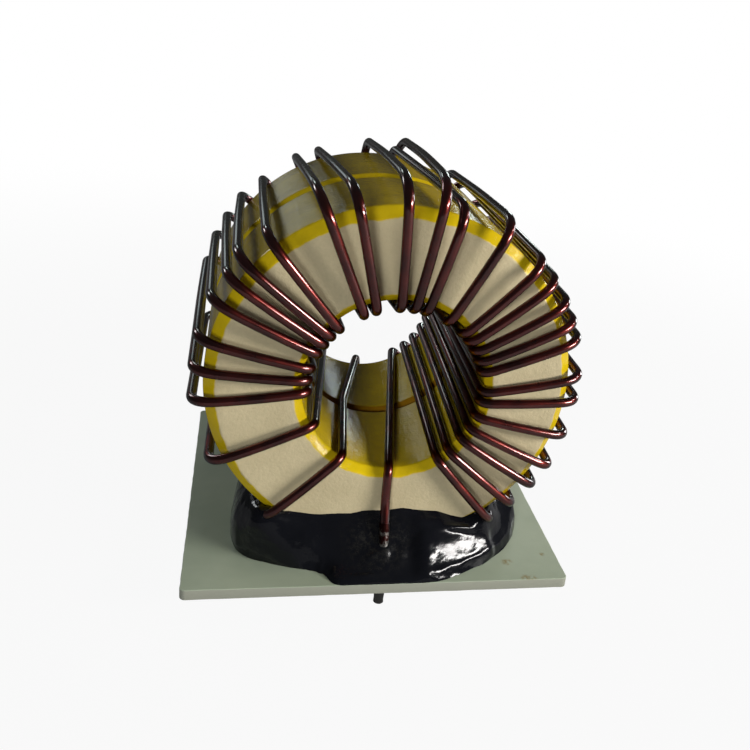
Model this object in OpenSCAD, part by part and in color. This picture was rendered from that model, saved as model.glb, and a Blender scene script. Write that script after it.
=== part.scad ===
// Toroidal inductor: two stacked powder cores wound with one thick enamelled wire,
// stuck with a bed of adhesive to a square carrier board. Millimetres, +Z up.
// The origin is the middle of the board's underside; the cores' axis lies along Y.

/* [Cores] */
// Outer diameter of each core
core_od = 63.5; // [56:0.5:70]
// Bore of each core
bore_d = 31.8; // [29:0.2:38]
// Height of one core along its axis
core_h = 25.4; // [15:0.2:30]
// Outer edge chamfer
rim_chamfer = 1.8; // [0.8:0.1:2.4]
// Bore edge chamfer
bore_chamfer = 1.3; // [0.6:0.1:2]

/* [Winding] */
// Diameter of the enamelled wire
wire_d = 1.7; // [1.2:0.05:1.8]
// Reach of the wire's bends at the bore's edges
bore_bend = 2.2; // [1.5:0.1:2.4]
// Reach of the wire's bends where a loop lies close on the rim
rim_bend = 3; // [2:0.1:3.4]
// How much longer that reach grows as a loop stands off the rim
loop_ease = 1.6; // [0.5:0.1:2]
// Bow of the loops between their two bends, as a share of what they stand off the rim
loop_arch = 0.12; // [0:0.02:0.3]
// Bow of the wire's runs across the faces
leg_bow = 0.5; // [0:0.05:0.8]
// Clear space in front of the face where a run turns into the bore
bore_lift = 0.8; // [0:0.1:1.2]
// Clear space between the wire and the paint of the cores
seat_gap = 0.08; // [0.05:0.01:0.2]

/* [Leads] */
// Distance of each lead's axis from the face of the cores
lead_out = 4.6; // [3:0.1:6]
// Length of the tinned pin under the board
pin_l = 5; // [2.5:0.5:8]
// Height over the board at which a lead leaves the face of the cores
lead_bend_z = 10; // [7:0.5:14]

/* [Board] */
// Thickness of the carrier board
board_t = 2; // [1.2:0.1:3.2]
// How far the board reaches past the cores' faces
board_over_y = 9.1; // [7:0.1:16]
// How far the board reaches past the cores' rim
board_over_x = 2.75; // [0:0.25:8]
// Corner radius of the board
board_corner = 1; // [0.5:0.1:3]
// Radial clearance of a lead in its hole
hole_gap = 0.2; // [0.1:0.05:0.4]

/* [Adhesive] */
// Thickness of the adhesive between the board and the lowest point of the cores
bed_t = 1.85; // [1:0.05:3]
// Height of the adhesive on the cores' faces, above the board
bank_h = 9.2; // [6:0.2:11]
// How far the adhesive ends inside the cores' rim, seen from above
bank_in = 3.6; // [1:0.2:6]
// How far the adhesive stands out from the faces at its corners
bank_out = 2.8; // [2:0.1:4]
// Half the width of a stroke of adhesive
stroke = 7.4; // [6:0.1:8]
// How far the front and the rear mound of adhesive run past the middle into each other
mound_lap = 1; // [0.5:0.1:3]
// How far off to +X the adhesive lies
bank_shift = 0.8; // [-1:0.1:1]
// How far the tongue of adhesive round a lead stands out from the lead's axis
tongue_out = 4.3; // [3:0.1:4.4]
// Width of that tongue at the board's edge
tongue_w = 20.5; // [12:0.5:24]
// Height of that tongue at the lead, above the board
tongue_h = 4.6; // [3:0.2:6]
// Space between the adhesive and what it holds, for the solids' sake
glue_gap = 0.05; // [0.03:0.01:0.1]

/* [Hidden] */
$fn = 96;

core_r = core_od / 2;
bore_r = bore_d / 2;
stack_y = core_h;                       // half of the two cores' height
axis_z = board_t + bed_t + core_r;
wire_r = wire_d / 2;
face_y = stack_y + wire_r + seat_gap;   // wire centre on a face
bore_wire_r = bore_r - wire_r - seat_gap;
rim_wire_r = core_r + wire_r + seat_gap;
board_x = core_od + 2 * board_over_x;
board_y = 2 * (stack_y + board_over_y);
lead_y = stack_y + lead_out;

// One row per turn, from the front lead round to the rear one. First the angles about
// the cores' axis from +X: bore front, bore rear, rim front, rim rear. Then, in wire
// diameters, how far the loop stands off the rim at the front and at the rear, and how
// far its front bend stands ahead of the face.
TURNS = [
    [303.5, 312, 308, 309, 0.3, 0.2, 0.5], [313, 323, 317, 318, 0.2, 0.2, 0.5],
    [325, 334, 326.5, 328, 0.2, 0.2, 0.7], [334.5, 344, 335, 338, 0.2, 0.2, 0.8],
    [344, 354, 346.5, 349, 0.2, 0.2, 0.5], [354.5, 364, 359, 360, 0.2, 0.2, 0.5],
    [362, 375, 367, 369, 0.3, 0.3, 0.5], [376, 386, 379.5, 380, 0.4, 0.3, 0.6],
    [384, 397, 385.5, 388, 0.3, 0.4, 0.7], [392, 408, 392.5, 396, 0.3, 0.4, 0.8],
    [400, 420, 400.5, 404, 0.3, 0.4, 0.8], [407.5, 431, 408, 414, 0.4, 0.5, 1.1],
    [420.5, 442, 423, 420, 1.4, 0.3, 1.6], [436.5, 453, 437, 443.6, 0.8, 0.1, 2.0],
    [444.2, 463, 443.5, 440, 2.7, 1.2, 2.4], [453, 473, 453.3, 453, 2.6, 0.5, 2.6],
    [468, 484, 466, 471.3, 2.2, 0.2, 2.5], [476, 494, 474.3, 479.5, 2.8, 0.3, 2.3],
    [493.5, 505, 490.8, 493.5, 1.1, 0.2, 1.7], [500.5, 516, 499.9, 503, 1.4, 0.5, 1.6],
    [507.3, 527, 505.6, 512, 0.9, 0.5, 1.6], [514.2, 538, 513.3, 520, 0.9, 0.6, 1.4],
    [525, 549, 525, 530, 0.6, 0.7, 1.1], [533, 560, 534.3, 541, 0.4, 0.8, 0.9],
    [541, 573, 544, 552, 0.5, 0.9, 0.8], [565, 598, 564, 567, 0.5, 0.5, 0.6],
    [595.5, 629, 589.5, 597, 0.2, 0.3, 0.2]
];
LEAD_BORE = [270, 301];    // bore angles of the first pass, at the front and the rear
LAST_PASS_MID = 247;       // bore angle of the last pass, half way through
REAR_LIFT = 1.5;           // a rear bend's distance from the face over its stand-off
REAR_BOW = 0.45;           // what a rear run bows more, over its loop's stand-off
TUBE_SIDES = 8;
BEND_STEPS = 3;
GLUED_START = 19;          // corners of the wire at each end that lie in or near the adhesive
GLUED_END = 12;
BEAD_SIDES = 20;
bank_w = core_od - 2 * bank_in;
corner_sink = stroke - bank_out;        // how far behind the faces the corner strokes crest
crest_h = bank_h / sqrt(1 - pow(corner_sink / stroke, 2));

// ---- small vector helpers ----
function unit(v) = v / norm(v);
function at(radius, angle, y) = [radius * cos(angle), y, axis_z + radius * sin(angle)];
function outward(p) = unit([p.x, 0, p.z - axis_z]);
function across(p) = unit([axis_z - p.z, 0, p.x]);

// ---- the wire's corners, each with the reach of its bend, 0 where it only bows ----
function rim_corner(off, angle, y) = [at(rim_wire_r + off, angle, y), rim_bend + loop_ease * off];
function bore_corner(angle, y) = [at(bore_wire_r, angle, y), bore_bend];
function bowed(a, b, push) = [(a[0] + b[0]) / 2 + push, 0];
function arched(a, b, push) = bowed(a, b, push * outward((a[0] + b[0]) / 2));
function turn_corners(t, start) =
    let (rear = rim_corner(wire_d * t[5], t[3], face_y + wire_d * REAR_LIFT * t[5]),
         front = rim_corner(wire_d * t[4], t[2], -face_y - wire_d * t[6]),
         into = bore_corner(t[0], -face_y - bore_lift))
    [bowed(start, rear, [0, leg_bow + wire_d * REAR_BOW * t[5], 0]), rear,
        arched(rear, front, loop_arch * wire_d * t[4]), front,
        bowed(front, into, [0, -leg_bow, 0]), into, bore_corner(t[1], face_y)];
function lead_corners(side) = [
    [[0, side * lead_y, 0], 0],
    [[0, side * lead_y, lead_bend_z / 2], bore_bend],
    [[0, side * face_y, lead_bend_z + lead_out], bore_bend]
];
FIRST_PASS = [bore_corner(LEAD_BORE[0], -face_y), bore_corner(LEAD_BORE[1], face_y)];
ALL_TURNS = [for (i = [0:len(TURNS) - 1])
    each turn_corners(TURNS[i], bore_corner(i > 0 ? TURNS[i - 1][1] : LEAD_BORE[1], face_y))];
LAST_BEND = ALL_TURNS[len(ALL_TURNS) - 1];
CORNERS = concat(
    lead_corners(-1), FIRST_PASS,
    [for (i = [0:len(ALL_TURNS) - 2]) ALL_TURNS[i]],
    [bore_corner(LAST_PASS_MID, 0), LAST_BEND],
    [for (i = [2:-1:0]) lead_corners(1)[i]]);

// Points round one corner: the bend starts and ends its reach from the corner
function bend(a, b, c, reach) =
    let (ra = min(reach, 0.48 * norm(a - b)), rc = min(reach, 0.48 * norm(c - b)),
         from = b + ra * unit(a - b), to = b + rc * unit(c - b))
    [for (k = [0:BEND_STEPS]) let (s = k / BEND_STEPS)
        (1 - s) * (1 - s) * from + 2 * s * (1 - s) * b + s * s * to];
function rounded(corners) = concat(
    [corners[0][0]],
    [for (i = [1:len(corners) - 2]) let (p = corners[i][0], reach = corners[i][1])
        each reach > 0 ? bend(corners[i - 1][0], p, corners[i + 1][0], reach) : [p]],
    [corners[len(corners) - 1][0]]);

// ---- a closed tube along a list of points ----
function heading(pts, i) = unit(
    i == 0 ? pts[1] - pts[0] :
    i == len(pts) - 1 ? pts[i] - pts[i - 1] :
    unit(pts[i + 1] - pts[i]) + unit(pts[i] - pts[i - 1]));
function side_way(pts, i) =
    let (t = heading(pts, i), e = across(pts[i])) unit(e - (e * t) * t);
module tube(pts, radius) {
    n = len(pts);
    ring_points = [for (i = [0:n - 1])
        let (u = side_way(pts, i), v = cross(heading(pts, i), u))
        for (k = [0:TUBE_SIDES - 1]) let (a = 360 * k / TUBE_SIDES)
            pts[i] + radius * (cos(a) * u + sin(a) * v)];
    skin = [for (i = [0:n - 2], k = [0:TUBE_SIDES - 1])
        let (j = (k + 1) % TUBE_SIDES, a = i * TUBE_SIDES, b = a + TUBE_SIDES)
        each [[a + k, b + k, b + j], [a + k, b + j, a + j]]];
    caps = [[for (k = [0:TUBE_SIDES - 1]) k],
        [for (k = [TUBE_SIDES - 1:-1:0]) (n - 1) * TUBE_SIDES + k]];
    polyhedron(points = ring_points, faces = concat(skin, caps));
}

// ---- the cores ----
module core(grow = 0) {
    outer = core_r + grow;
    top = core_h + grow;
    translate([0, 0, axis_z]) rotate([90, 0, 0]) rotate_extrude()
        polygon([
            [bore_r, bore_chamfer - grow], [bore_r + bore_chamfer, -grow],
            [outer - rim_chamfer, -grow], [outer, rim_chamfer - grow],
            [outer, top - rim_chamfer], [outer - rim_chamfer, top],
            [bore_r + bore_chamfer, top], [bore_r, top - bore_chamfer]
        ]);
}
module core_front() { color("gold") core(); }
module core_rear() { color("goldenrod") translate([0, core_h, 0]) core(); }

// ---- the winding: one wire, its ends straight round pins ----
module pin(y) { translate([0, y, -pin_l]) cylinder(h = pin_l, r = wire_r); }
module winding() {
    color([0.16, 0.05, 0.05]) {
        tube(rounded(CORNERS), wire_r);
        pin(-lead_y);
        pin(lead_y);
    }
}

// ---- the board ----
module board_outline() {
    square([board_x, board_y - 2 * board_corner], center = true);
    square([board_x - 2 * board_corner, board_y], center = true);
    for (x = [-1, 1], y = [-1, 1])
        translate([x * (board_x / 2 - board_corner), y * (board_y / 2 - board_corner)])
            circle(r = board_corner);
}
module base_board() {
    color([0.56, 0.61, 0.52]) difference() {
        linear_extrude(board_t) board_outline();
        for (y = [-lead_y, lead_y]) translate([0, y, -board_t])
            cylinder(h = 3 * board_t, r = wire_r + hole_gap);
    }
}

// ---- the adhesive: strokes of a nozzle round the foot of the cores ----
module bead(x, y, wide, deep, tall) {
    translate([x + bank_shift, y, board_t]) scale([wide, deep, tall])
        sphere(r = 1, $fn = BEAD_SIDES);
}
module mound(side) {
    hull() for (x = [-1, 1]) {
        bead(x * (bank_w / 2 - stroke), side * (stroke - mound_lap), stroke, stroke, crest_h);
        bead(x * (bank_w / 2 - 1.2 * stroke), side * (stack_y - corner_sink), stroke, stroke, crest_h);
    }
}
module tongue(side) {
    hull() for (x = [-1, 1]) {
        bead(x * tongue_w / 4, side * lead_y, tongue_w / 4, tongue_out, tongue_h);
        bead(x * tongue_w / 2, side * stack_y, tongue_w / 4, 0.75 * stroke, bank_h);
    }
}
module adhesive() {
    n = len(CORNERS);
    color([0.06, 0.06, 0.07]) difference() {
        for (side = [-1, 1]) {
            mound(side);
            tongue(side);
        }
        translate([-board_x / 2, -board_y / 2, board_t - crest_h])
            cube([board_x, board_y, crest_h]);
        core(glue_gap);
        translate([0, core_h, 0]) core(glue_gap);
        tube(rounded([for (i = [0:GLUED_START - 1]) CORNERS[i]]), wire_r + glue_gap);
        tube(rounded([for (i = [n - GLUED_END:n - 1]) CORNERS[i]]), wire_r + glue_gap);
    }
}

core_front();
core_rear();
winding();
base_board();
adhesive();
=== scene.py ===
import math
import random
import bpy
from mathutils import Matrix, Vector, noise


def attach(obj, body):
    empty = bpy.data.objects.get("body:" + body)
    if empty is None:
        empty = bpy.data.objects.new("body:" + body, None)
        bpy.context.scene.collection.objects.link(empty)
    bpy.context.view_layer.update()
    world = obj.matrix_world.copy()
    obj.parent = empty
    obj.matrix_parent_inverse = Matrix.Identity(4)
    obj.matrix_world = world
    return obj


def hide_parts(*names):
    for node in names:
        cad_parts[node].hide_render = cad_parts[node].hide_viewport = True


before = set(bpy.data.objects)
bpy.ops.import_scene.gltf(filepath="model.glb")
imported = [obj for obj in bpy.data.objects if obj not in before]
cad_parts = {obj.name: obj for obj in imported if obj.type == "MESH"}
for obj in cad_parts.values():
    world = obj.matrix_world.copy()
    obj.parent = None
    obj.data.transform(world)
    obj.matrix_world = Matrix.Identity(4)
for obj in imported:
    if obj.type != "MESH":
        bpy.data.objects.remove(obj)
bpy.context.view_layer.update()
mm = 0.001
print("loaded the frame:", ", ".join(sorted(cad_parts)))


# helpers for meshes, pieces and shader trees
def newObject(name, points, faces, edges=()):
    # points are in millimetres
    data = bpy.data.meshes.new(name)
    data.from_pydata([Vector(p) * mm for p in points], list(edges), faces)
    data.validate()
    for face in data.polygons:
        face.use_smooth = True
    thing = bpy.data.objects.new(name, data)
    bpy.context.collection.objects.link(thing)
    return thing


def finishPiece(thing, node=None):
    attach(thing, "root")
    if node:
        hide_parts(node)


def addNode(tree, kind, inputs=None, **settings):
    made = tree.nodes.new(kind)
    for key, value in settings.items():
        setattr(made, key, value)
    for key, value in (inputs or {}).items():
        if isinstance(value, bpy.types.NodeSocket):
            tree.links.new(value, made.inputs[key])
        else:
            made.inputs[key].default_value = value
    return made


def newMaterial(name):
    material = bpy.data.materials.new(name)
    material.use_nodes = True
    tree = material.node_tree
    shader = tree.nodes["Principled BSDF"]
    return material, tree, shader


def objectCoords(tree, shift=(0, 0, 0)):
    coords = addNode(tree, "ShaderNodeTexCoord").outputs["Object"]
    moved = addNode(tree, "ShaderNodeMapping", {"Vector": coords})
    moved.inputs["Location"].default_value = Vector(shift) * mm
    return moved.outputs["Vector"]


def grain(tree, coords, size, detail=2.0, roughness=0.5):
    # noise whose grains are about `size` millimetres across
    return addNode(tree, "ShaderNodeTexNoise", {
        "Vector": coords, "Scale": 1 / (size * mm), "Detail": detail, "Roughness": roughness
    }).outputs["Fac"]


def calc(tree, operation, *values):
    return addNode(tree, "ShaderNodeMath", dict(enumerate(values)), operation=operation).outputs[0]


def remap(tree, value, fromLow, fromHigh, toLow=0.0, toHigh=1.0, smooth=False):
    return addNode(tree, "ShaderNodeMapRange", {
        "Value": value, "From Min": fromLow, "From Max": fromHigh, "To Min": toLow, "To Max": toHigh
    }, interpolation_type="SMOOTHSTEP" if smooth else "LINEAR").outputs["Result"]


def blendColors(tree, factor, first, second):
    mix = addNode(tree, "ShaderNodeMix", {"Factor": factor}, data_type="RGBA")
    for socket, value in ((mix.inputs[6], first), (mix.inputs[7], second)):
        if isinstance(value, bpy.types.NodeSocket):
            tree.links.new(value, socket)
        else:
            socket.default_value = (*value, 1.0)
    return mix.outputs[2]


def addBump(tree, shader, layers):
    # layers are (height socket, depth in millimetres)
    normal = None
    for height, depth in layers:
        bump = addNode(tree, "ShaderNodeBump", {"Height": height, "Distance": depth * mm})
        if normal:
            tree.links.new(normal, bump.inputs["Normal"])
        normal = bump.outputs["Normal"]
    tree.links.new(normal, shader.inputs["Normal"])


# lengths in millimetres, turns in radians, focal length and axis in the frame's pixels
cameraSettings = {
    "position": (-25.910, -162.084, 97.282),
    "yaw": 0.2962, "pitch": -0.3850, "roll": 0.1479,
    "focalPixels": 881.18, "axisPixel": (487.57, 373.03), "framePixels": 750,
    "sensorWidth": 36, "clipStart": 10,
}


def makeCamera(c):
    yaw, pitch, roll = c["yaw"], c["pitch"], c["roll"]
    forward = Vector((math.sin(yaw) * math.cos(pitch), math.cos(yaw) * math.cos(pitch),
                      math.sin(pitch)))
    level = Vector((math.cos(yaw), -math.sin(yaw), 0))
    upright = level.cross(forward)
    right = math.cos(roll) * level + math.sin(roll) * upright
    up = math.cos(roll) * upright - math.sin(roll) * level
    data = bpy.data.cameras.new("camera")
    data.sensor_fit = "HORIZONTAL"
    data.sensor_width = c["sensorWidth"]
    data.lens = c["focalPixels"] / c["framePixels"] * c["sensorWidth"]
    data.shift_x = 0.5 - c["axisPixel"][0] / c["framePixels"]
    data.shift_y = c["axisPixel"][1] / c["framePixels"] - 0.5
    data.clip_start = c["clipStart"] * mm
    thing = bpy.data.objects.new("camera", data)
    turn = Matrix((right, up, -forward)).transposed().to_4x4()
    thing.matrix_world = Matrix.Translation(Vector(c["position"]) * mm) @ turn
    bpy.context.collection.objects.link(thing)
    bpy.context.scene.camera = thing


makeCamera(cameraSettings)
print("camera set")


# the two ring cores, lengths in millimetres
coreSettings = {
    "outer": 31.75, "bore": 15.9, "height": 25.4, "axisZ": 35.6,
    "rimChamfer": 1.8, "boreChamfer": 1.3, "edgeRound": 0.7,
    "segments": 288, "step": 0.8, "roundSteps": 4, "inset": 0.03,
    "unevenness": 0.035, "unevennessSize": 5, "frontShift": 40,
    "cream": (0.55, 0.465, 0.285), "creamDark": (0.46, 0.385, 0.23),
    "speck": (0.42, 0.36, 0.22), "speckShare": 0.55,
    "yellow": (0.66, 0.47, 0.006), "yellowDark": (0.50, 0.35, 0.006),
    # the groove colour is painted shade: it darkens the seam where the two cores meet, inside the
    # bore only
    "grooveShade": (0.26, 0.11, 0.005), "grooveFrom": 1.65, "grooveTo": 1.2, "grooveShare": 0.92,
    "paintWander": 0.22, "roughCream": 0.62, "roughYellow": 0.13, "ior": 1.36,
    "peelDepth": 0.08, "pitDepth": 0.05, "pitCream": 2.1, "pitYellow": 1.3,
}


def roundedProfile(corners, radius, roundSteps, step):
    # closed profile with its corners rounded and its straight parts subdivided
    points = []
    count = len(corners)
    for i in range(count):
        before, here, after = corners[i - 1], corners[i], corners[(i + 1) % count]
        towards = (before - here).normalized()
        onwards = (after - here).normalized()
        half = towards.angle(onwards) / 2
        reach = radius / math.tan(half)
        centre = here + (towards + onwards).normalized() * radius / math.sin(half)
        start, end = here + towards * reach, here + onwards * reach
        for k in range(roundSteps + 1):
            way = start.lerp(end, k / roundSteps) - centre
            points.append(centre + way.normalized() * radius)
        following = after - (after - here).normalized() * min(reach, (after - here).length / 2)
        gap = (following - end).length
        pieces = max(1, round(gap / step))
        points += [end.lerp(following, k / pieces) for k in range(1, pieces)]
    return points


def makeCore(name, c, front):
    # profile in (radius, y), from the bore's front edge round the outside
    near, far = (-c["height"], 0.0) if front else (0.0, c["height"])
    rim, bore = c["rimChamfer"], c["boreChamfer"]
    corners = [Vector(p) for p in (
        (c["bore"], near + bore), (c["bore"] + bore, near),
        (c["outer"] - rim, near), (c["outer"], near + rim),
        (c["outer"], far - rim), (c["outer"] - rim, far),
        (c["bore"] + bore, far), (c["bore"], far - bore))]
    profile = roundedProfile(corners, c["edgeRound"], c["roundSteps"], c["step"])
    points, faces = [], []
    count = len(profile)
    for i in range(c["segments"]):
        angle = 2 * math.pi * i / c["segments"]
        for p in profile:
            x, z = math.cos(angle), math.sin(angle)
            seedPoint = Vector((x * p.x, p.y + c["frontShift"] * front, z * p.x))
            bulge = c["unevenness"] * noise.noise(seedPoint / c["unevennessSize"])
            radius = p.x + bulge - c["inset"]
            points.append((radius * x, p.y, c["axisZ"] + radius * z))
    for i in range(c["segments"]):
        j = (i + 1) % c["segments"]
        for k in range(count):
            m = (k + 1) % count
            faces.append((i * count + k, j * count + k, j * count + m, i * count + m))
    return newObject(name, points, faces)


def corePaint(c):
    material, tree, shader = newMaterial("corePaint")
    coords = objectCoords(tree, (0, 0, -c["axisZ"]))
    parts = addNode(tree, "ShaderNodeSeparateXYZ", {"Vector": coords})
    flat = addNode(tree, "ShaderNodeCombineXYZ", {"X": parts.outputs["X"], "Z": parts.outputs["Z"]})
    length = addNode(tree, "ShaderNodeVectorMath", {0: flat.outputs[0]}, operation="LENGTH")
    radius = length.outputs["Value"]
    reach = c["paintWander"] * mm
    wander = remap(tree, grain(tree, coords, 3.2, 3.0), 0.3, 0.7, -reach, reach)
    edge = calc(tree, "ADD", radius, wander)
    atRim = remap(tree, edge, (c["outer"] - c["rimChamfer"] - 0.25) * mm,
                  (c["outer"] - c["rimChamfer"] + 0.1) * mm, smooth=True)
    atBore = remap(tree, edge, (c["bore"] + c["boreChamfer"] + 0.3) * mm,
                   (c["bore"] + c["boreChamfer"] - 0.1) * mm, smooth=True)
    offFace = remap(tree, calc(tree, "ABSOLUTE", parts.outputs["Y"]), (c["height"] - 0.1) * mm,
                    (c["height"] - 0.45) * mm, smooth=True)
    painted = calc(tree, "MAXIMUM", calc(tree, "MAXIMUM", atRim, atBore), offFace)
    cloud = grain(tree, coords, 9, 4.0, 0.6)
    speck = remap(tree, grain(tree, coords, 0.45, 3.0, 0.7), 0.35, 0.75)
    cream = blendColors(tree, remap(tree, cloud, 0.35, 0.7), c["creamDark"], c["cream"])
    cream = blendColors(tree, calc(tree, "MULTIPLY", speck, c["speckShare"]), cream, c["speck"])
    yellow = blendColors(tree, remap(tree, cloud, 0.3, 0.7), c["yellowDark"], c["yellow"])
    # painted shade in the seam inside the bore, strongest at the seam's middle
    inBore = calc(tree, "LESS_THAN", radius, (c["bore"] + 3) * mm)
    grooveShade = remap(tree, calc(tree, "ABSOLUTE", parts.outputs["Y"]), c["grooveFrom"] * mm,
                   c["grooveTo"] * mm, 0, c["grooveShare"], smooth=True)
    yellow = blendColors(tree, calc(tree, "MULTIPLY", grooveShade, inBore), yellow, c["grooveShade"])
    tree.links.new(blendColors(tree, painted, cream, yellow), shader.inputs["Base Color"])
    rough = remap(tree, painted, 0, 1, c["roughCream"], c["roughYellow"])
    tree.links.new(rough, shader.inputs["Roughness"])
    shader.inputs["IOR"].default_value = c["ior"]
    peel = grain(tree, coords, 1.1, 2.0, 0.45)
    fine = grain(tree, coords, 0.45, 3.0, 0.6)
    pitted = calc(tree, "MULTIPLY", fine, remap(tree, painted, 0, 1, c["pitCream"], c["pitYellow"]))
    addBump(tree, shader, [(peel, c["peelDepth"]), (pitted, c["pitDepth"])])
    return material


paint = corePaint(coreSettings)
for coreName, cadName, isFront in (("frontCore", "core_front", True),
                                   ("rearCore", "core_rear", False)):
    core = makeCore(coreName, coreSettings, isFront)
    core.data.materials.append(paint)
    finishPiece(core, cadName)
print("cores painted")


# the wound wire, lengths in millimetres, angles in degrees
wireSettings = {
    "diameter": 1.7, "sides": 20, "bendSteps": 9, "seat": 0.08,
    "boreBend": 2.2, "rimBend": 3.0, "loopEase": 1.6, "loopArch": 0.12, "bowReach": 9.0,
    "legBow": 0.5, "boreLift": 0.8, "rearLift": 1.5, "rearBow": 0.45,
    "leadY": 30.0, "leadBendZ": 10.0, "leadOut": 4.6, "pinEnd": -4.97,
    "firstPass": (270, 301), "lastPassMiddle": 247,
    "unevenness": 0.03, "unevennessSize": 6.0,
    "enamel": (0.16, 0.018, 0.013), "enamelDeep": (0.07, 0.008, 0.006),
    "grazing": (0.12, 0.03, 0.03), "smoothest": 0.27, "roughest": 0.37,
    "coatWeight": 1.0, "coatRough": 0.16, "coatIor": 1.6, "waveDepth": 0.02, "grainDepth": 0.003,
}
# angles in degrees: bore front, bore rear, rim front, rim rear; then in wire diameters
# what stands off the rim at the front and rear, and the front bend ahead of the face
turns = [
    (303.5, 312, 308, 309, 0.3, 0.2, 0.5), (313, 323, 317, 318, 0.2, 0.2, 0.5),
    (325, 334, 326.5, 328, 0.2, 0.2, 0.7), (334.5, 344, 335, 338, 0.2, 0.2, 0.8),
    (344, 354, 346.5, 349, 0.2, 0.2, 0.5), (354.5, 364, 359, 360, 0.2, 0.2, 0.5),
    (362, 375, 367, 369, 0.3, 0.3, 0.5), (376, 386, 379.5, 380, 0.4, 0.3, 0.6),
    (384, 397, 385.5, 388, 0.3, 0.4, 0.7), (392, 408, 392.5, 396, 0.3, 0.4, 0.8),
    (400, 420, 400.5, 404, 0.3, 0.4, 0.8), (407.5, 431, 408, 414, 0.4, 0.5, 1.1),
    (420.5, 442, 423, 420, 1.4, 0.3, 1.6), (436.5, 453, 437, 443.6, 0.8, 0.1, 2.0),
    (444.2, 463, 443.5, 440, 2.7, 1.2, 2.4), (453, 473, 453.3, 453, 2.6, 0.5, 2.6),
    (468, 484, 466, 471.3, 2.2, 0.2, 2.5), (476, 494, 474.3, 479.5, 2.8, 0.3, 2.3),
    (493.5, 505, 490.8, 493.5, 1.1, 0.2, 1.7), (500.5, 516, 499.9, 503, 1.4, 0.5, 1.6),
    (507.3, 527, 505.6, 512, 0.9, 0.5, 1.6), (514.2, 538, 513.3, 520, 0.9, 0.6, 1.4),
    (525, 549, 525, 530, 0.6, 0.7, 1.1), (533, 560, 534.3, 541, 0.4, 0.8, 0.9),
    (541, 573, 544, 552, 0.5, 0.9, 0.8), (565, 598, 564, 567, 0.5, 0.5, 0.6),
    (595.5, 629, 589.5, 597, 0.2, 0.3, 0.2),
]


def aroundAxis(radius, angle, y):
    turned = math.radians(angle)
    return Vector((radius * math.cos(turned), y, coreSettings["axisZ"] + radius * math.sin(turned)))


def windingCorners(w, c):
    # corners of the wire in millimetres, each with how far its bend reaches from it
    d = w["diameter"]
    faceY = c["height"] + d / 2 + w["seat"]
    boreR = c["bore"] - d / 2 - w["seat"]
    rimR = c["outer"] + d / 2 + w["seat"]

    def rimCorner(off, angle, y):
        return aroundAxis(rimR + off, angle, y), w["rimBend"] + w["loopEase"] * off

    def boreCorner(angle, y):
        return aroundAxis(boreR, angle, y), w["boreBend"]

    def bowed(first, second, push):
        return (first[0] + second[0]) / 2 + push, w["bowReach"]

    def lead(side):
        return [(Vector((0, side * w["leadY"], w["pinEnd"])), 0),
                (Vector((0, side * w["leadY"], w["leadBendZ"] / 2)), w["boreBend"]),
                (Vector((0, side * faceY, w["leadBendZ"] + w["leadOut"])), w["boreBend"])]

    path = lead(-1)
    path += [boreCorner(w["firstPass"][0], -faceY), boreCorner(w["firstPass"][1], faceY)]
    for boreFront, boreRear, rimFront, rimRear, offFront, offRear, ahead in turns:
        rear = rimCorner(d * offRear, rimRear, faceY + d * w["rearLift"] * offRear)
        front = rimCorner(d * offFront, rimFront, -faceY - d * ahead)
        into = boreCorner(boreFront, -faceY - w["boreLift"])
        middle = (rear[0] + front[0]) / 2 - Vector((0, 0, c["axisZ"]))
        outward = Vector((middle.x, 0, middle.z)).normalized()
        path.append(bowed(path[-1], rear, Vector((0, w["legBow"] + d * w["rearBow"] * offRear, 0))))
        path.append(rear)
        path.append(bowed(rear, front, outward * w["loopArch"] * d * offFront))
        path.append(front)
        path.append(bowed(front, into, Vector((0, -w["legBow"], 0))))
        path.append(into)
        path.append(boreCorner(boreRear, faceY))
    path.insert(-1, boreCorner(w["lastPassMiddle"], 0))
    return path + lead(1)[::-1]


def bentPath(corners, steps):
    share = 0.48  # the most of a straight that one bend takes, so that two never meet
    points = [corners[0][0]]
    for (before, _), (here, reach), (after, _) in zip(corners, corners[1:], corners[2:]):
        start = here + (before - here).normalized() * min(reach, share * (before - here).length)
        end = here + (after - here).normalized() * min(reach, share * (after - here).length)
        for k in range(steps + 1):
            s = k / steps
            points.append((1 - s) ** 2 * start + 2 * s * (1 - s) * here + s * s * end)
    return points + [corners[-1][0]]


def denser(points, step):
    result = [points[0]]
    for first, second in zip(points, points[1:]):
        pieces = max(1, math.ceil((second - first).length / step))
        result += [first.lerp(second, k / pieces) for k in range(1, pieces + 1)]
    return result


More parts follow.
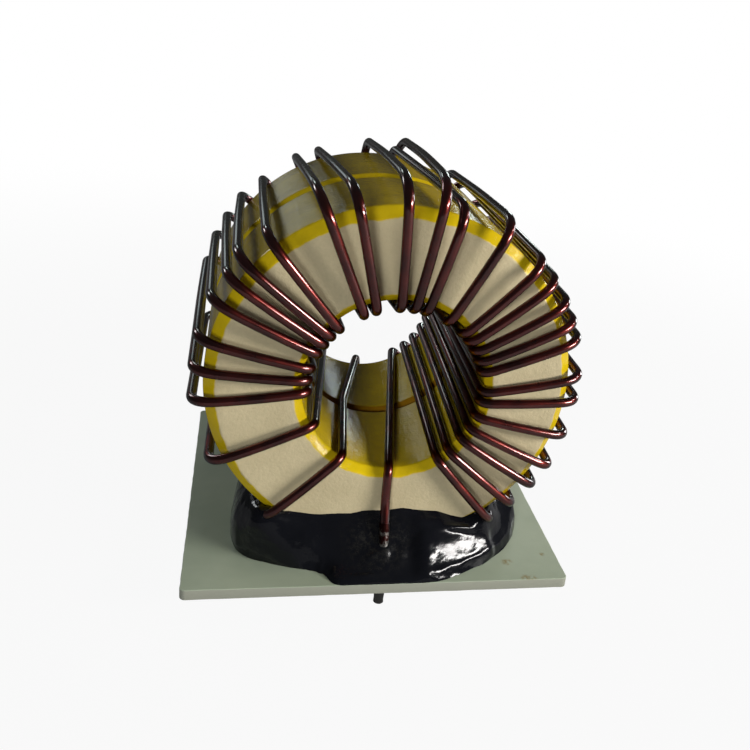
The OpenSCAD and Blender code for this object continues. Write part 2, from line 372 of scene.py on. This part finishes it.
def wireTree():
    # Geometry Nodes: a path of points becomes a round wire, slightly uneven
    tree = bpy.data.node_groups.new("roundWire", "GeometryNodeTree")
    face = tree.interface
    face.new_socket("Geometry", in_out="OUTPUT", socket_type="NodeSocketGeometry")
    face.new_socket("Path", in_out="INPUT", socket_type="NodeSocketGeometry")
    for label, kind in (("Diameter", "Float"), ("Sides", "Int"), ("Unevenness", "Float"),
                        ("Unevenness Size", "Float"), ("Finish", "Material")):
        face.new_socket(label, in_out="INPUT", socket_type="NodeSocket" + kind)
    given = addNode(tree, "NodeGroupInput").outputs
    curve = addNode(tree, "GeometryNodeMeshToCurve", {"Mesh": given["Path"]})
    radius = calc(tree, "MULTIPLY", given["Diameter"], 0.5)
    ring = addNode(tree, "GeometryNodeCurvePrimitiveCircle", {
        "Resolution": given["Sides"], "Radius": radius})
    tube = addNode(tree, "GeometryNodeCurveToMesh", {
        "Curve": curve.outputs[0], "Profile Curve": ring.outputs[0], "Fill Caps": True})
    place = addNode(tree, "GeometryNodeInputPosition").outputs[0]
    scale = calc(tree, "DIVIDE", 1.0, given["Unevenness Size"])
    lumps = addNode(tree, "ShaderNodeTexNoise", {"Vector": place, "Scale": scale}).outputs["Fac"]
    push = calc(tree, "MULTIPLY", calc(tree, "SUBTRACT", lumps, 0.5), given["Unevenness"])
    normal = addNode(tree, "GeometryNodeInputNormal").outputs[0]
    offset = addNode(tree, "ShaderNodeVectorMath", {0: normal, "Scale": push}, operation="SCALE")
    moved = addNode(tree, "GeometryNodeSetPosition", {
        "Geometry": tube.outputs[0], "Offset": offset.outputs[0]})
    shaded = addNode(tree, "GeometryNodeSetShadeSmooth", {"Geometry": moved.outputs[0]})
    real = addNode(tree, "GeometryNodeRealizeInstances", {"Geometry": shaded.outputs[0]})
    finished = addNode(tree, "GeometryNodeSetMaterial", {
        "Geometry": real.outputs[0], "Material": given["Finish"]})
    addNode(tree, "NodeGroupOutput", {"Geometry": finished.outputs[0]})
    return tree


def wireAlong(name, points, tree, w, finish):
    # runs the tree on a path and keeps the result as a plain mesh
    values = {"Diameter": w["diameter"] * mm, "Sides": w["sides"],
              "Unevenness": w["unevenness"] * mm, "Unevenness Size": w["unevennessSize"] * mm,
              "Finish": finish}
    source = newObject(name + "Path", points, [], [(i, i + 1) for i in range(len(points) - 1)])
    modifier = source.modifiers.new("roundWire", "NODES")
    modifier.node_group = tree
    for item in tree.interface.items_tree:
        if item.in_out == "INPUT" and item.name in values:
            modifier[item.identifier] = values[item.name]
    bpy.context.view_layer.update()
    shown = source.evaluated_get(bpy.context.evaluated_depsgraph_get())
    data = bpy.data.meshes.new_from_object(shown)
    data.name = name
    source.modifiers.clear()
    bpy.data.objects.remove(source)
    thing = bpy.data.objects.new(name, data)
    bpy.context.collection.objects.link(thing)
    return thing


def enamelFinish(w):
    material, tree, shader = newMaterial("enamelledCopper")
    coords = objectCoords(tree)
    cloud = remap(tree, grain(tree, coords, 5, 3.0), 0.35, 0.65)
    color = blendColors(tree, cloud, w["enamelDeep"], w["enamel"])
    tree.links.new(color, shader.inputs["Base Color"])
    shader.inputs["Metallic"].default_value = 1.0
    rough = remap(tree, grain(tree, coords, 2, 2.0), 0.3, 0.7, w["smoothest"], w["roughest"])
    tree.links.new(rough, shader.inputs["Roughness"])
    shader.inputs["Coat Weight"].default_value = w["coatWeight"]
    shader.inputs["Coat Roughness"].default_value = w["coatRough"]
    shader.inputs["Coat IOR"].default_value = w["coatIor"]
    shader.inputs["Specular Tint"].default_value = (*w["grazing"], 1)
    addBump(tree, shader, [(grain(tree, coords, 1.6, 3.0), w["waveDepth"]),
                           (grain(tree, coords, 0.4, 2.0), w["grainDepth"])])
    return material


tubeTree = wireTree()
corners = windingCorners(wireSettings, coreSettings)
winding = wireAlong("windingWire", bentPath(corners, wireSettings["bendSteps"]), tubeTree,
                    wireSettings, enamelFinish(wireSettings))
finishPiece(winding, "winding")
print("winding made:", len(winding.data.polygons), "faces")


# thin sleeves over the wire's two ends, lengths in millimetres
tinSettings = {
    "diameter": 1.86, "sides": 28, "top": 10.6, "step": 0.22,
    "unevenness": 0.26, "unevennessSize": 1.1,
    # the last colour here is painted shade for the lead below the board
    "tin": (0.30, 0.29, 0.27), "burnt": (0.03, 0.008, 0.007), "shadeBelowBoard": (0.12, 0.118, 0.112),
    "patchyFrom": 3.5, "patchShift": 0.12, "roughTin": 0.30, "roughBurnt": 0.5, "lumpDepth": 0.09,
    "patchEdges": (0.44, 0.56),
}


def tinFinish(t):
    material, tree, shader = newMaterial("tinnedCopper")
    coords = objectCoords(tree)
    height = addNode(tree, "ShaderNodeSeparateXYZ", {"Vector": coords}).outputs["Z"]
    rise = remap(tree, height, t["patchyFrom"] * mm, t["top"] * mm,
                 -t["patchShift"], t["patchShift"])
    patches = calc(tree, "ADD", grain(tree, coords, 1.1, 4.0, 0.65), rise)
    patch = remap(tree, patches, *t["patchEdges"])
    # painted shade: the lead is darkened below the board, where the board shades it
    under = remap(tree, height, 0.5 * mm, -0.5 * mm)
    color = blendColors(tree, under, blendColors(tree, patch, t["tin"], t["burnt"]), t["shadeBelowBoard"])
    tree.links.new(color, shader.inputs["Base Color"])
    shader.inputs["Metallic"].default_value = 1.0
    rough = remap(tree, patch, 0, 1, t["roughTin"], t["roughBurnt"])
    tree.links.new(rough, shader.inputs["Roughness"])
    addBump(tree, shader, [(grain(tree, coords, 0.5, 3.0), t["lumpDepth"])])
    return material


tin = tinFinish(tinSettings)
for tinName, lead in (("frontTinning", corners[:4]), ("rearTinning", corners[:-5:-1])):
    route = denser(bentPath(lead, wireSettings["bendSteps"]), tinSettings["step"])
    route = [p for p in route if p.z <= tinSettings["top"]]
    tinning = wireAlong(tinName, route, tubeTree, tinSettings, tin)
    finishPiece(tinning)
print("lead ends tinned")


# the board under the cores, lengths in millimetres
boardSettings = {
    "half": 34.5, "thickness": 2.0, "corner": 1.0, "cornerSteps": 8, "sideSteps": 48,
    "sawn": 0.07, "seed": 3, "edgeRound": 0.12, "holeRadius": 1.05, "holeSides": 32,
    "pale": (0.42, 0.475, 0.355), "deep": (0.33, 0.385, 0.28), "edge": (0.29, 0.295, 0.235),
    "weave": 900.0, "weaveShare": 0.06, "roughTop": 0.34, "roughEdge": 0.7,
    "edgeFrom": 0.02, "edgeTo": 0.15, "waveDepth": 0.015, "grainDepth": 0.01,
    "stain": (0.24, 0.17, 0.05), "stainStrength": 1.3,
    # x, y and reach of each stain
    "stains": [(24.1, -28.8, 1.4), (26.4, -33.9, 1.2), (27.8, -34.0, 1.1), (31.8, -26.6, 0.7)],
}


def makeBoard(b, leadY):
    # a filled 2D curve with holes, thickened and softened, then turned into a mesh
    data = bpy.data.curves.new("boardOutline", "CURVE")
    data.dimensions = "2D"
    data.fill_mode = "BOTH"
    chance = random.Random(b["seed"])

    def loop(points):
        spline = data.splines.new("POLY")
        spline.points.add(len(points) - 1)
        for target, (x, y) in zip(spline.points, points):
            target.co = (x * mm, y * mm, 0, 1)
        spline.use_cyclic_u = True

    inner = b["half"] - b["corner"]
    quarters = ((1, 1), (-1, 1), (-1, -1), (1, -1))

    def onCorner(quarter, angle):
        cx, cy = quarters[quarter % 4]
        reach = b["corner"]
        return cx * inner + reach * math.cos(angle), cy * inner + reach * math.sin(angle)

    outline = []
    for quarter in range(4):
        for k in range(b["cornerSteps"] + 1):
            angle = math.radians(90 * quarter + 90 * k / b["cornerSteps"])
            outline.append(onCorner(quarter, angle))
        last = Vector(outline[-1])
        nextAngle = math.radians(90 * (quarter + 1))
        goal = Vector(onCorner(quarter + 1, nextAngle))
        inward = Vector((-math.cos(nextAngle), -math.sin(nextAngle)))
        for k in range(1, b["sideSteps"]):
            point = last.lerp(goal, k / b["sideSteps"]) + inward * b["sawn"] * chance.random()
            outline.append((point.x, point.y))
    loop(outline)
    radius = b["holeRadius"]
    holeAngles = [2 * math.pi * k / b["holeSides"] for k in range(b["holeSides"])]
    for y in (-leadY, leadY):
        loop([(radius * math.cos(angle), y + radius * math.sin(angle)) for angle in holeAngles])
    data.extrude = (b["thickness"] / 2 - b["edgeRound"]) * mm
    data.bevel_depth = b["edgeRound"] * mm
    data.bevel_resolution = 2
    data.offset = -b["edgeRound"] * mm
    source = bpy.data.objects.new("boardOutline", data)
    bpy.context.collection.objects.link(source)
    bpy.context.view_layer.update()
    shown = source.evaluated_get(bpy.context.evaluated_depsgraph_get())
    plain = bpy.data.meshes.new_from_object(shown)
    plain.transform(Matrix.Translation((0, 0, b["thickness"] / 2 * mm)))
    plain.name = "carrierBoard"
    bpy.data.objects.remove(source)
    thing = bpy.data.objects.new("carrierBoard", plain)
    bpy.context.collection.objects.link(thing)
    return thing


def laminate(b):
    material, tree, shader = newMaterial("laminate")
    coords = objectCoords(tree)
    cloud = remap(tree, grain(tree, coords, 22, 4.0, 0.6), 0.35, 0.65)
    color = blendColors(tree, cloud, b["deep"], b["pale"])
    weave = addNode(tree, "ShaderNodeTexWave", {
        "Vector": coords, "Scale": b["weave"], "Distortion": 1.5, "Detail": 1.0})
    share = calc(tree, "MULTIPLY", weave.outputs["Fac"], b["weaveShare"])
    color = blendColors(tree, share, color, b["deep"])
    parts = addNode(tree, "ShaderNodeSeparateXYZ", {"Vector": coords})
    spots = remap(tree, grain(tree, coords, 1.0, 3.0, 0.6), 0.40, 0.62)
    for x, y, reach in b["stains"]:
        distance = addNode(tree, "ShaderNodeVectorMath", {0: coords}, operation="DISTANCE")
        distance.inputs[1].default_value = Vector((x, y, b["thickness"])) * mm
        near = remap(tree, distance.outputs["Value"], reach * mm, 0.0)
        mark = calc(tree, "MULTIPLY", calc(tree, "MULTIPLY", near, spots), b["stainStrength"])
        color = blendColors(tree, mark, color, b["stain"])
    top = b["thickness"]
    cut = remap(tree, parts.outputs["Z"], (top - b["edgeFrom"]) * mm, (top - b["edgeTo"]) * mm)
    color = blendColors(tree, cut, color, b["edge"])
    tree.links.new(color, shader.inputs["Base Color"])
    rough = remap(tree, cut, 0, 1, b["roughTop"], b["roughEdge"])
    tree.links.new(rough, shader.inputs["Roughness"])
    addBump(tree, shader, [(grain(tree, coords, 1.2, 3.0), b["waveDepth"]),
                           (grain(tree, coords, 0.25, 2.0), b["grainDepth"])])
    return material


board = makeBoard(boardSettings, wireSettings["leadY"])
board.data.materials.clear()
board.data.materials.append(laminate(boardSettings))
finishPiece(board, "base_board")
print("board made")


# the bed between the board and the cores, lengths in millimetres
adhesiveSettings = {
    "boardTop": 2.0, "segments": 480, "rings": 66, "innerRings": 12, "reachIn": 10.5,
    "crest": 11.7, "stroke": 7.4, "fullness": 2.15, "foot": 0.6, "footReach": 0.4,
    "climbBend": 1.3, "lip": 0.35, "lipAt": 0.7, "lipReach": 0.4,
    "lipX": (7, 11), "lipY": (-20, -24),
    "domeDepth": 20.0, "domeBend": 3.4, "boardReach": 34.45, "sunk": 0.04, "intoCore": 0.25,
    # where the heaped cross-section takes over from the climb on the face, by distance in x or y
    "heapedFrontRight": (5, 10), "heapedRearRight": (8, 17), "heapedLeft": (12, 20),
    "heapedMiddle": (27, 24), "domedX": (4, 10), "domedY": (-12, -25), "loweredY": (20, 27),
    # how rough the edge is, and how much more at one direction from the middle
    "edgeWobble": 0.22, "ragged": 0.05, "raggedMore": 0.45, "raggedAt": (-0.29, -0.957),
    "raggedReach": 0.008, "wobbleWaves": 9, "raggedWaves": 45,
    "black": (0.003, 0.0032, 0.0045), "grey": (0.006, 0.0065, 0.0085),
    "dust": (0.017, 0.016, 0.013), "dustAt": (-1, -28.5, 7), "dustReach": 8.5,
    # where the adhesive ends on the board, counter-clockwise
    "outline": [
        (25.6, 0.4), (27.9, 4), (28.7, 9), (28.3, 15), (27, 20.5), (24.2, 25.2), (19, 28.3),
        (14.5, 29.8), (11.3, 31.2), (9.6, 33.2), (7, 34.2), (0, 34.3), (-6.5, 34.2), (-8.6, 33.1),
        (-10.5, 31), (-14, 29.4), (-18.5, 28), (-23, 25.6), (-25.8, 21), (-27.1, 14), (-27, 8.5),
        (-25.4, 4.6), (-24.6, 3), (-25.1, 2), (-25.5, 0.2), (-25.8, -6.8), (-26.3, -11),
        (-26.8, -15.6), (-26, -21.4), (-24, -25), (-20.5, -27.1), (-16.2, -28.8), (-12.1, -30),
        (-10, -31.7), (-9.1, -33.9), (-7.9, -34.4),
        (-3.5, -34.45), (3.5, -34.45), (8.7, -34.4), (10, -34.1), (12.6, -32.8), (19.8, -28.8),
        (24.2, -24.9), (27.7, -19.8), (28.8, -16.2), (28.3, -9.5), (27.3, -4),
    ],
    # height of the adhesive's upper edge on the face, over the board, by x
    "faceLine": [
        (-19.6, 9.6), (-15.3, 9.2), (-10.8, 8.8), (-7.7, 8.8), (-5.1, 9.3), (-2.4, 9.5), (1.3, 9.5),
        (4.9, 9.8), (8.2, 9.5), (13, 9.2), (15.5, 8.4), (18, 7.8),
    ],
    # x, y, half length, half width, angle in degrees, height
    "lumps": [
        (-23.0, -27.4, 3.4, 2.2, 25, 1.5), (-24.8, -19, 3.4, 2.2, 75, 0.4),
        (-12, -26.8, 6.5, 0.8, -8, 0.25), (-8, -29, 6.0, 0.7, -20, -0.18),
        (3.2, -30.6, 2.4, 1.0, 60, 0.25), (14.6, -27.0, 3.0, 0.45, 14, 0.8),
        (20.6, -27.0, 1.5, 1.2, 30, 0.5), (-3.4, -33.4, 1.6, 0.4, 0, 0.25),
        (7, -28.5, 3.5, 0.8, 10, -0.2), (0.1, -30.2, 1.5, 1.2, 0, 0.7),
        (0, 30, 1.5, 1.3, 0, 0.7), (-2.2, -30.8, 1.2, 0.5, 10, 0.35),
    ],
    # x, y, reach, and how much fuller and higher the cross-section is there
    "fuller": [(-22.6, -26.4, 4.5, 2.6, 0.2), (20.5, -28.2, 2.4, 0.3, 0.3)],
    # what noise adds to the surface: depth, size in x, y and z, and shift in z
    "swells": [(0.40, (10, 8, 7), 0), (0.10, (4, 2.6, 2.4), 7), (0.02, (1, 1, 1), 0)],
    "ior": 1.34, "smoothest": 0.08, "roughest": 0.20, "dustRough": 0.5,
    "swellDepth": 0.06, "rippleDepth": 0.28, "grainDepth": 0.012,
}


def throughPoints(points, where):
    # straight lines between (place, value) pairs, level beyond the ends
    if where <= points[0][0]:
        return points[0][1]
    for (first, a), (second, b) in zip(points, points[1:]):
        if where <= second:
            return a + (b - a) * (where - first) / (second - first)
    return points[-1][1]


def smoothStep(low, high, value):
    # `low` may be the larger: the step then falls
    t = max(0.0, min(1.0, (value - low) / (high - low)))
    return t * t * (3 - 2 * t)


def strokeHeight(inside, depth, height, fullness):
    # cross-section of a stroke: steep at its edge, level at its crest
    left = 1 - min(1.0, inside / depth)
    return height * (1 - left ** fullness) ** (1 / fullness)


def adhesiveHeight(edgePoint, inside, a, c):
    # height over the board at a distance inside the outline's own point
    x, y = edgePoint
    rightSide = smoothStep(*(a["heapedFrontRight"] if y < 0 else a["heapedRearRight"]), x)
    leftSide = smoothStep(*a["heapedLeft"], -x)
    atSide = max(rightSide, leftSide, smoothStep(*a["heapedMiddle"], abs(y)))
    domed = smoothStep(*a["domedX"], x) * smoothStep(*a["domedY"], y)
    fullness = a["fullness"]
    raised = 0.0
    for fx, fy, reach, more, higher in a["fuller"]:
        near = math.exp(-((x - fx) ** 2 + (y - fy) ** 2) / reach ** 2)
        fullness += more * near
        raised += higher * near * smoothStep(0, 1.5, inside) * smoothStep(6, 3, inside)

    def profile(depth):
        dome = a["crest"] * (1 - (1 - min(1.0, depth / a["domeDepth"])) ** a["domeBend"])
        stroke = strokeHeight(depth, a["stroke"], a["crest"], fullness)
        return stroke + (dome - stroke) * domed

    side = profile(inside)
    faceDepth = max(3.0, (abs(y) - c["height"]) * math.hypot(x, y) / max(abs(y), 1e-6))
    goal = throughPoints(a["faceLine"], x * (1 if y < 0 else -1))
    share = min(1.3, inside / faceDepth)
    foot = a["foot"] * (1 - math.exp(-inside / a["footReach"])) * max(0, 1 - share)
    climb = goal * share ** a["climbBend"] + foot
    nearFace = smoothStep(0.5 * faceDepth * domed, faceDepth, inside)
    lowered = nearFace * smoothStep(*a["loweredY"], abs(y))
    side *= 1 + (goal / profile(faceDepth) - 1) * lowered
    atLip = math.exp(-((inside - a["lipAt"]) / a["lipReach"]) ** 2)
    lip = a["lip"] * smoothStep(*a["lipX"], x) * smoothStep(*a["lipY"], y) * atLip
    return climb + (side - climb) * atSide + lip + raised


def adhesiveRelief(p, fade, a):
    # what the surface bulges along its own normal
    x, y, z = p
    push = 0.0
    for lx, ly, length, width, angle, size in a["lumps"]:
        turned = math.radians(angle)
        u = (x - lx) * math.cos(turned) + (y - ly) * math.sin(turned)
        v = (y - ly) * math.cos(turned) - (x - lx) * math.sin(turned)
        push += size * math.exp(-(u / length) ** 2 - (v / width) ** 2)
    for depth, (sizeX, sizeY, sizeZ), shift in a["swells"]:
        push += depth * noise.noise(Vector((x / sizeX, y / sizeY, z / sizeZ + shift)))
    return fade * push


def makeAdhesive(a, c):
    count = a["segments"]
    polar = sorted((math.atan2(y, x) % (2 * math.pi), math.hypot(x, y)) for x, y in a["outline"])

    def edgeRadius(angle):
        # smooth closed outline through the given points
        n = len(polar)
        for i in range(n):
            low, high = polar[i][0], polar[(i + 1) % n][0] + (2 * math.pi if i == n - 1 else 0)
            here = angle if angle >= polar[0][0] else angle + 2 * math.pi
            if low <= here <= high:
                t = (here - low) / max(high - low, 1e-6)
                p0, p1, p2, p3 = (polar[(i + k) % n][1] for k in (-1, 0, 1, 2))
                cubic = 3 * (p1 - p2) + p3 - p0
                square = 2 * p0 - 5 * p1 + 4 * p2 - p3
                return p1 + 0.5 * t * (p2 - p0 + t * (square + t * cubic))
        return polar[0][1]

    rows = []
    for k in range(count):
        angle = 2 * math.pi * k / count
        way = Vector((math.cos(angle), math.sin(angle)))
        roughX, roughY = a["raggedAt"]
        off = (way.x - roughX) ** 2 + (way.y - roughY) ** 2
        ragged = a["ragged"] + a["raggedMore"] * math.exp(-off / a["raggedReach"])
        slow, quick = a["wobbleWaves"], a["raggedWaves"]
        wobble = a["edgeWobble"] * noise.noise(Vector((way.x * slow, way.y * slow, 4)))
        wobble += ragged * noise.noise(Vector((way.x * quick, way.y * quick, 9)))
        edge = min(edgeRadius(angle) + wobble, a["boardReach"] / max(abs(way.x), abs(way.y)))
        around = [edgeRadius((angle + math.radians(turn)) % (2 * math.pi))
                  for turn in range(-15, 16, 3)]
        evened = sum(around) / len(around)
        row = []
        for ring in range(a["rings"] + a["innerRings"]):
            if ring < a["rings"]:
                inside = a["reachIn"] * (1 - math.cos(math.pi / 2 * ring / (a["rings"] - 1)))
            else:
                share = (ring - a["rings"] + 1) / a["innerRings"]
                inside = a["reachIn"] + (edge - a["reachIn"]) * 0.9 * share
            x, y = way * (edge + (evened - edge) * smoothStep(0, 3, inside) - inside)
            z = a["boardTop"] + adhesiveHeight(way * evened, inside, a, c)
            row.append(Vector((x, y, z)))
        row[0].z = a["boardTop"] - a["sunk"]
        rows.append(row)

    points = []
    for k in range(count):
        for ring, here in enumerate(rows[k]):
            along = rows[(k + 1) % count][ring] - rows[k - 1][ring]
            inward = rows[k][min(ring + 1, len(rows[k]) - 1)] - rows[k][max(ring - 1, 0)]
            fade = smoothStep(0, 10, ring) * (1 - smoothStep(a["rings"] - 4, a["rings"], ring))
            p = here + along.cross(inward).normalized() * adhesiveRelief(here, fade, a)
            limit = a["boardReach"] / max(abs(p.x), abs(p.y), a["boardReach"])
            p.x, p.y = p.x * limit, p.y * limit
            if abs(p.y) < c["height"] - 0.7 and abs(p.x) < c["outer"]:
                under = c["axisZ"] - math.sqrt(c["outer"] ** 2 - p.x ** 2)
                p.z = min(p.z, under + a["intoCore"])
            points.append(p)
    perRow = len(rows[0])
    faces = []
    for k in range(count):
        first, second = k * perRow, (k + 1) % count * perRow
        faces += [(first + r, second + r, second + r + 1, first + r + 1) for r in range(perRow - 1)]
        faces.append((first + perRow - 1, second + perRow - 1, count * perRow))
        faces.append((second, first, count * perRow + 1))
    points.append(Vector((0, 0, c["axisZ"] - c["outer"] + a["intoCore"])))
    points.append(Vector((0, 0, a["boardTop"] - a["sunk"])))
    return newObject("adhesiveBed", points, faces)


def glossyBlack(a):
    material, tree, shader = newMaterial("blackAdhesive")
    coords = objectCoords(tree)
    away = addNode(tree, "ShaderNodeVectorMath", {0: coords}, operation="DISTANCE")
    away.inputs[1].default_value = Vector(a["dustAt"]) * mm
    around = remap(tree, away.outputs["Value"], a["dustReach"] * mm, 1.5 * mm, smooth=True)
    specks = remap(tree, grain(tree, coords, 0.9, 4.0, 0.7), 0.42, 0.8)
    dust = calc(tree, "MULTIPLY", around, specks)
    color = blendColors(tree, grain(tree, coords, 5, 3.0), a["black"], a["grey"])
    tree.links.new(blendColors(tree, dust, color, a["dust"]), shader.inputs["Base Color"])
    smooth = remap(tree, grain(tree, coords, 4, 3.0), 0.35, 0.7, a["smoothest"], a["roughest"])
    rough = calc(tree, "ADD", smooth, calc(tree, "MULTIPLY", dust, a["dustRough"]))
    tree.links.new(rough, shader.inputs["Roughness"])
    shader.inputs["IOR"].default_value = a["ior"]
    patches = remap(tree, grain(tree, coords, 6, 2.0), 0.45, 0.62)
    across = addNode(tree, "ShaderNodeSeparateXYZ", {"Vector": coords}).outputs["X"]
    patches = calc(tree, "MULTIPLY", patches, remap(tree, across, -6 * mm, -16 * mm, 0.25, 1.0))
    ripples = calc(tree, "MULTIPLY", grain(tree, coords, 1.3, 3.0), patches)
    addBump(tree, shader, [(grain(tree, coords, 2.4, 3.0, 0.5), a["swellDepth"]),
                           (ripples, a["rippleDepth"]),
                           (grain(tree, coords, 0.5, 2.0), a["grainDepth"])])
    return material


adhesive = makeAdhesive(adhesiveSettings, coreSettings)
adhesive.data.materials.append(glossyBlack(adhesiveSettings))
finishPiece(adhesive, "adhesive")
print("adhesive laid")


# floor, backdrop and lamps, lengths in millimetres
studioSettings = {
    "floorZ": -5.0, "floorHalf": 3000.0, "floorColor": (0.32, 0.322, 0.325),
    "floorRough": 0.9,
    "liftNear": 0.93, "liftFar": 1.0, "liftFrom": 100.0, "liftTo": 380.0, "reflected": 0.02,
    "dim": (0.05, 0.052, 0.055), "pale": (0.03, 0.033, 0.03),
    # where the backdrop fades in, by how far back and how high a direction points
    "behindFrom": -0.05, "behindTo": 0.4, "lowFrom": 0.62, "lowTo": 0.25,
    "lamps": [
        # name, place, width and height, strength in watts, colour, mirrored in glossy surfaces
        ("key", (345, -252, 168), (250, 56), 1.98, (1.0, 0.975, 0.95), True),
        ("fill", (-190, -490, 160), (120, 120), 1.22, (0.92, 0.96, 1.0), False),
        ("side", (380, -20, 245), (42, 42), 0.20, (1.0, 0.98, 0.95), True),
        ("rearRight", (400, 220, 90), (120, 120), 0.50, (0.97, 0.98, 1.0), True),
        ("rearLeft", (-320, 420, 230), (120, 120), 0.25, (0.95, 0.98, 1.0), True),
        ("legWindow", (-112, 420, 118), (75, 75), 0.013, (0.85, 0.97, 1.0), True),
        ("lowWindow", (197, 420, 140), (64, 64), 0.095, (0.88, 1.0, 0.97), True),
        ("highWindow", (-108, 420, 246), (60, 60), 0.045, (0.88, 1.0, 0.97), True),
    ],
    "target": (0, 0, 36),
}


def seenBy(tree, *rays):
    path = addNode(tree, "ShaderNodeLightPath").outputs
    result = path["Is " + rays[0] + " Ray"]
    for ray in rays[1:]:
        result = calc(tree, "MAXIMUM", result, path["Is " + ray + " Ray"])
    return result


def makeFloor(s):
    half, z = s["floorHalf"], s["floorZ"]
    corners = [(-half, -half, z), (half, -half, z), (half, half, z), (-half, half, z)]
    floor = newObject("floor", corners, [(0, 1, 2, 3)])
    material, tree, shader = newMaterial("floorPaper")
    shader.inputs["Base Color"].default_value = (*s["floorColor"], 1)
    shader.inputs["Roughness"].default_value = s["floorRough"]
    length = addNode(tree, "ShaderNodeVectorMath", {0: objectCoords(tree)}, operation="LENGTH")
    lift = remap(tree, length.outputs["Value"], s["liftFrom"] * mm, s["liftTo"] * mm,
                 s["liftNear"], s["liftFar"], smooth=True)
    reflected = calc(tree, "MULTIPLY", seenBy(tree, "Glossy", "Transmission"), s["reflected"])
    share = calc(tree, "MULTIPLY", calc(tree, "MAXIMUM", seenBy(tree, "Camera"), reflected), lift)
    glow = addNode(tree, "ShaderNodeEmission", {"Color": (1, 1, 1, 1), "Strength": 1.0})
    mix = addNode(tree, "ShaderNodeMixShader", {0: share, 1: shader.outputs[0], 2: glow.outputs[0]})
    tree.links.new(mix.outputs[0], tree.nodes["Material Output"].inputs["Surface"])
    floor.data.materials.append(material)


def makeLight(s):
    # a dim room, white to the camera and faintly so in gloss low behind the object
    world = bpy.data.worlds.new("studio")
    bpy.context.scene.world = world
    world.use_nodes = True
    tree = world.node_tree
    way = addNode(tree, "ShaderNodeTexCoord").outputs["Generated"]
    parts = addNode(tree, "ShaderNodeSeparateXYZ", {"Vector": way})
    behind = remap(tree, parts.outputs["Y"], s["behindFrom"], s["behindTo"], smooth=True)
    low = remap(tree, parts.outputs["Z"], s["lowFrom"], s["lowTo"], smooth=True)
    backdrop = calc(tree, "MULTIPLY", behind, low)
    back = tree.nodes["Background"]
    tree.links.new(blendColors(tree, backdrop, s["dim"], s["pale"]), back.inputs["Color"])
    white = addNode(tree, "ShaderNodeBackground", {"Color": (1, 1, 1, 1), "Strength": 1.0})
    reflected = calc(tree, "MULTIPLY", seenBy(tree, "Glossy", "Transmission"), backdrop)
    reflected = calc(tree, "MULTIPLY", reflected, s["reflected"])
    share = calc(tree, "MAXIMUM", seenBy(tree, "Camera"), reflected)
    mix = addNode(tree, "ShaderNodeMixShader", {0: share, 1: back.outputs[0], 2: white.outputs[0]})
    tree.links.new(mix.outputs[0], tree.nodes["World Output"].inputs["Surface"])
    for name, place, (width, height), power, color, mirrored in s["lamps"]:
        data = bpy.data.lights.new(name, "AREA")
        data.shape = "ELLIPSE"
        data.size, data.size_y = width * mm, height * mm
        data.energy = power
        data.color = color
        lamp = bpy.data.objects.new(name, data)
        lamp.location = Vector(place) * mm
        aim = Vector(s["target"]) - Vector(place)
        lamp.rotation_euler = aim.to_track_quat("-Z", "Y").to_euler()
        lamp.visible_glossy = mirrored
        bpy.context.collection.objects.link(lamp)


makeFloor(studioSettings)
makeLight(studioSettings)
bpy.context.scene.view_settings.view_transform = "Standard"
print("studio lit")
